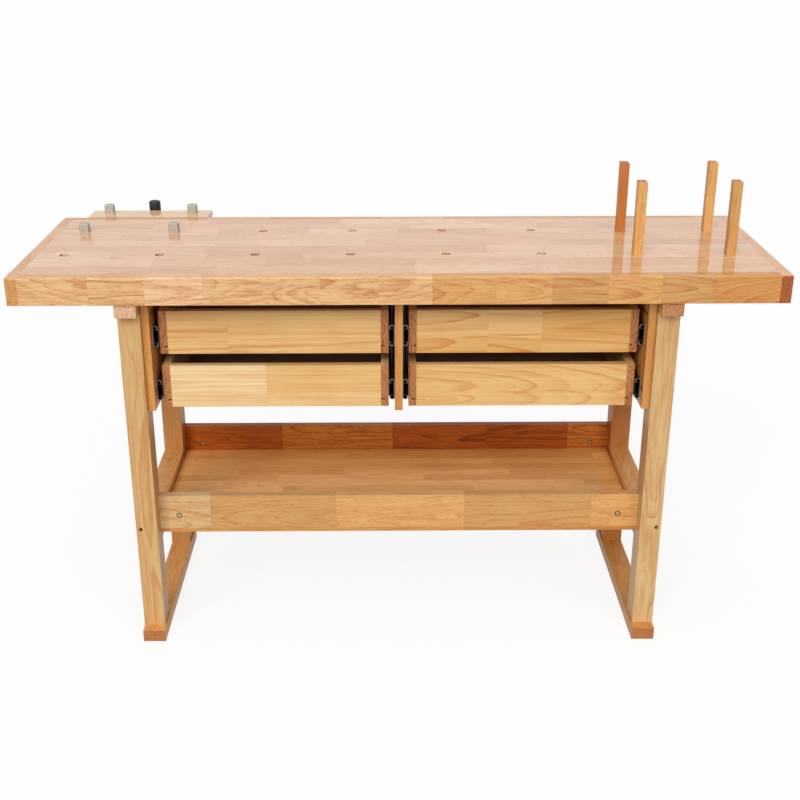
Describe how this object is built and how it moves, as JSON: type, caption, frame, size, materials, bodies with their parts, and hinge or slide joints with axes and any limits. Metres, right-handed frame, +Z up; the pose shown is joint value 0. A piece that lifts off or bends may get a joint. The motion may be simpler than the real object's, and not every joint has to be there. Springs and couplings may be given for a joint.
{
  "type": "workbench",
  "caption": "Wooden joiner's workbench: lipped top with dog holes, lift-out pegs and dogs, rear screw vise, slide-out drawers and a railed shelf on two trestles.",
  "frame": {"origin": "on the floor, at the middle of the bench's length and of its depth with the vise shut", "axes": "+X along the bench to the right seen from the drawers, +Y from the drawers to the vise, +Z up"},
  "size_m": [1.543, 0.6126, 0.9885],
  "materials": {
    "rubberwood": "lacquered",
    "pine": "lacquered",
    "plywood": "plain",
    "brass": "dull zinc",
    "bright_steel": "turned",
    "dull_steel": "ground",
    "black_steel": "satin black",
    "cast_iron": "painted",
    "black_rubber": "moulded"
  },
  "bodies": {
    "bench": {"top_staves": "rubberwood", "dog_blocks": "rubberwood", "front_apron": "rubberwood", "rear_apron": "rubberwood", "end_aprons": "rubberwood", "top_cleats": "pine", "legs": "rubberwood", "feet": "rubberwood", "bearers": "rubberwood", "side_rails": "rubberwood", "shelf_front_rail": "rubberwood", "shelf_rear_rail": "rubberwood", "shelf_board": "rubberwood", "case_sides": "rubberwood", "centre_divider": "rubberwood", "barrel_nuts": "brass", "frame_bolts": "bright_steel", "wood_screws": "bright_steel", "slide_outer_members": "black_steel", "vise_base": "cast_iron"},
    "upper_left_drawer": {"upper_left_drawer_front": "pine", "upper_left_drawer_back": "pine", "upper_left_drawer_sides": "pine", "upper_left_drawer_bottom": "plywood", "upper_left_drawer_slide_inner_members": "black_steel"},
    "upper_left_middle_members": {"upper_left_drawer_slide_middle_members": "black_steel"},
    "upper_right_drawer": {"upper_right_drawer_front": "pine", "upper_right_drawer_back": "pine", "upper_right_drawer_sides": "pine", "upper_right_drawer_bottom": "plywood", "upper_right_drawer_slide_inner_members": "black_steel"},
    "upper_right_middle_members": {"upper_right_drawer_slide_middle_members": "black_steel"},
    "lower_left_drawer": {"lower_left_drawer_front": "pine", "lower_left_drawer_back": "pine", "lower_left_drawer_sides": "pine", "lower_left_drawer_bottom": "plywood", "lower_left_drawer_slide_inner_members": "black_steel"},
    "lower_left_middle_members": {"lower_left_drawer_slide_middle_members": "black_steel"},
    "lower_right_drawer": {"lower_right_drawer_front": "pine", "lower_right_drawer_back": "pine", "lower_right_drawer_sides": "pine", "lower_right_drawer_bottom": "plywood", "lower_right_drawer_slide_inner_members": "black_steel"},
    "lower_right_middle_members": {"lower_right_drawer_slide_middle_members": "black_steel"},
    "vise_jaw": {"vise_jaw": "rubberwood", "vise_plate": "black_steel", "vise_plate_screws": "bright_steel", "guide_rods": "bright_steel"},
    "vise_screw": {"vise_screw": "bright_steel", "screw_collar": "bright_steel"},
    "vise_handle": {"handle_bar": "bright_steel", "handle_caps": "black_rubber"},
    "top_left_dog": {"top_left_dog": "dull_steel"},
    "jaw_left_dog": {"jaw_left_dog": "dull_steel"},
    "front_left_peg": {"front_left_peg": "rubberwood"},
    "rear_left_peg": {"rear_left_peg": "rubberwood"},
    "top_right_dog": {"top_right_dog": "dull_steel"},
    "jaw_right_dog": {"jaw_right_dog": "dull_steel"},
    "front_right_peg": {"front_right_peg": "rubberwood"},
    "rear_right_peg": {"rear_right_peg": "rubberwood"}
  },
  "joints": [
    {"name": "upper_left_drawer_slide", "type": "slide", "parent": "bench", "child": "upper_left_drawer", "axis": [0, -1, 0], "range_m": [0, 0.33]},
    {"name": "upper_left_middle_members_slide", "type": "slide", "parent": "bench", "child": "upper_left_middle_members", "axis": [0, -1, 0], "range_m": [0, 0.165]},
    {"name": "upper_right_drawer_slide", "type": "slide", "parent": "bench", "child": "upper_right_drawer", "axis": [0, -1, 0], "range_m": [0, 0.33]},
    {"name": "upper_right_middle_members_slide", "type": "slide", "parent": "bench", "child": "upper_right_middle_members", "axis": [0, -1, 0], "range_m": [0, 0.165]},
    {"name": "lower_left_drawer_slide", "type": "slide", "parent": "bench", "child": "lower_left_drawer", "axis": [0, -1, 0], "range_m": [0, 0.33]},
    {"name": "lower_left_middle_members_slide", "type": "slide", "parent": "bench", "child": "lower_left_middle_members", "axis": [0, -1, 0], "range_m": [0, 0.165]},
    {"name": "lower_right_drawer_slide", "type": "slide", "parent": "bench", "child": "lower_right_drawer", "axis": [0, -1, 0], "range_m": [0, 0.33]},
    {"name": "lower_right_middle_members_slide", "type": "slide", "parent": "bench", "child": "lower_right_middle_members", "axis": [0, -1, 0], "range_m": [0, 0.165]},
    {"name": "jaw_slide", "type": "slide", "parent": "bench", "child": "vise_jaw", "axis": [0, 1, 0], "range_m": [0, 0.12]},
    {"name": "screw_turn", "type": "hinge", "parent": "vise_jaw", "child": "vise_screw", "pos_m": [-0.577, 0.2893, 0.794], "axis": [0, 1, 0], "range_deg": [0, 7200]},
    {"name": "handle_slide", "type": "slide", "parent": "vise_screw", "child": "vise_handle", "axis": [0, 0, 1], "range_m": [0, 0.1094]},
    {"name": "top_left_dog_lift", "type": "slide", "parent": "bench", "child": "top_left_dog", "axis": [0, 0, 1], "range_m": [0, 0.044]},
    {"name": "jaw_left_dog_lift", "type": "slide", "parent": "vise_jaw", "child": "jaw_left_dog", "axis": [0, 0, 1], "range_m": [0, 0.044]},
    {"name": "front_left_peg_lift", "type": "slide", "parent": "bench", "child": "front_left_peg", "axis": [0, 0, 1], "range_m": [0, 0.023]},
    {"name": "rear_left_peg_lift", "type": "slide", "parent": "bench", "child": "rear_left_peg", "axis": [0, 0, 1], "range_m": [0, 0.023]},
    {"name": "top_right_dog_lift", "type": "slide", "parent": "bench", "child": "top_right_dog", "axis": [0, 0, 1], "range_m": [0, 0.044]},
    {"name": "jaw_right_dog_lift", "type": "slide", "parent": "vise_jaw", "child": "jaw_right_dog", "axis": [0, 0, 1], "range_m": [0, 0.044]},
    {"name": "front_right_peg_lift", "type": "slide", "parent": "bench", "child": "front_right_peg", "axis": [0, 0, 1], "range_m": [0, 0.023]},
    {"name": "rear_right_peg_lift", "type": "slide", "parent": "bench", "child": "rear_right_peg", "axis": [0, 0, 1], "range_m": [0, 0.023]}
  ],
  "couplings": [
    {"joint": "upper_left_middle_members_slide", "follows": "upper_left_drawer_slide", "ratio": 0.5},
    {"joint": "upper_right_middle_members_slide", "follows": "upper_right_drawer_slide", "ratio": 0.5},
    {"joint": "lower_left_middle_members_slide", "follows": "lower_left_drawer_slide", "ratio": 0.5},
    {"joint": "lower_right_middle_members_slide", "follows": "lower_right_drawer_slide", "ratio": 0.5},
    {"joint": "jaw_slide", "follows": "screw_turn", "m_per_rad": 0.00095493}
  ]
}
